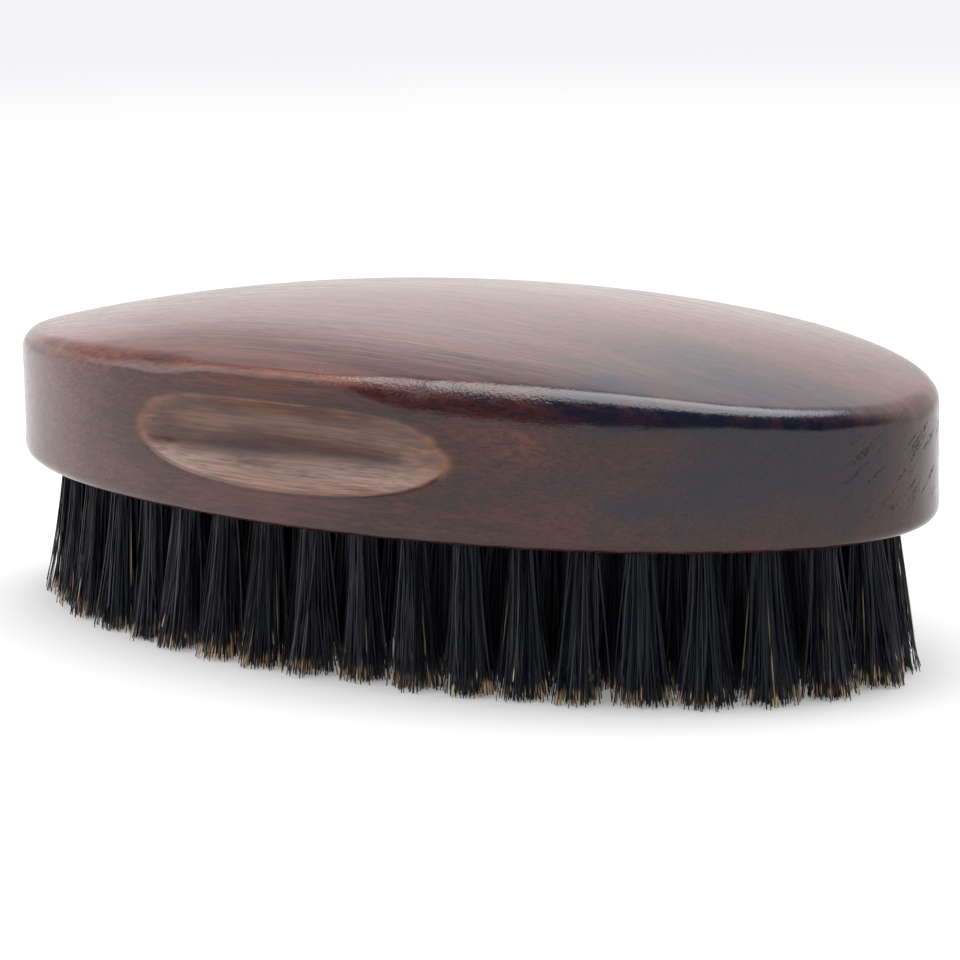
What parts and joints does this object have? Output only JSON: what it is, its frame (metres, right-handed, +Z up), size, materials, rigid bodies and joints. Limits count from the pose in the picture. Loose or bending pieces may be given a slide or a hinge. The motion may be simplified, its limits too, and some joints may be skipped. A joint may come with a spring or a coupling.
{
  "type": "beard brush",
  "caption": "Palm-held oval beard brush: a domed, stained wooden block with a finger groove in each long side, drilled and filled with rings of wire-anchored dark boar bristle tufts.",
  "frame": {"origin": "middle of the plane that the bristle tips rest on, under the middle of the handle", "axes": "+X along the handle, +Y across it, +Z up from the bristle tips to the domed back"},
  "size_m": [0.112, 0.062, 0.036],
  "materials": {
    "stained_wood": "gloss",
    "boar_bristle": "satin",
    "anchor_wire": "satin"
  },
  "bodies": {
    "root": {"handle": "stained_wood", "tuft_outer_01": "boar_bristle", "tuft_outer_02": "boar_bristle", "tuft_outer_03": "boar_bristle", "tuft_outer_04": "boar_bristle", "tuft_outer_05": "boar_bristle", "tuft_outer_06": "boar_bristle", "tuft_outer_07": "boar_bristle", "tuft_outer_08": "boar_bristle", "tuft_outer_09": "boar_bristle", "tuft_outer_10": "boar_bristle", "tuft_outer_11": "boar_bristle", "tuft_outer_12": "boar_bristle", "tuft_outer_13": "boar_bristle", "tuft_outer_14": "boar_bristle", "tuft_outer_15": "boar_bristle", "tuft_outer_16": "boar_bristle", "tuft_outer_17": "boar_bristle", "tuft_outer_18": "boar_bristle", "tuft_outer_19": "boar_bristle", "tuft_outer_20": "boar_bristle", "tuft_outer_21": "boar_bristle", "tuft_outer_22": "boar_bristle", "tuft_outer_23": "boar_bristle", "tuft_outer_24": "boar_bristle", "tuft_outer_25": "boar_bristle", "tuft_outer_26": "boar_bristle", "tuft_outer_27": "boar_bristle", "tuft_outer_28": "boar_bristle", "tuft_outer_29": "boar_bristle", "tuft_outer_30": "boar_bristle", "tuft_outer_31": "boar_bristle", "tuft_outer_32": "boar_bristle", "tuft_outer_33": "boar_bristle", "tuft_outer_34": "boar_bristle", "tuft_outer_35": "boar_bristle", "tuft_outer_36": "boar_bristle", "tuft_outer_37": "boar_bristle", "tuft_outer_38": "boar_bristle", "tuft_outer_39": "boar_bristle", "tuft_outer_40": "boar_bristle", "tufts_ring_2": "boar_bristle", "tufts_ring_3": "boar_bristle", "tufts_ring_4": "boar_bristle", "tufts_centre_row": "boar_bristle", "anchors_outer": "anchor_wire", "anchors_ring_2": "anchor_wire", "anchors_ring_3": "anchor_wire", "anchors_ring_4": "anchor_wire", "anchors_centre_row": "anchor_wire"}
  },
  "joints": []
}
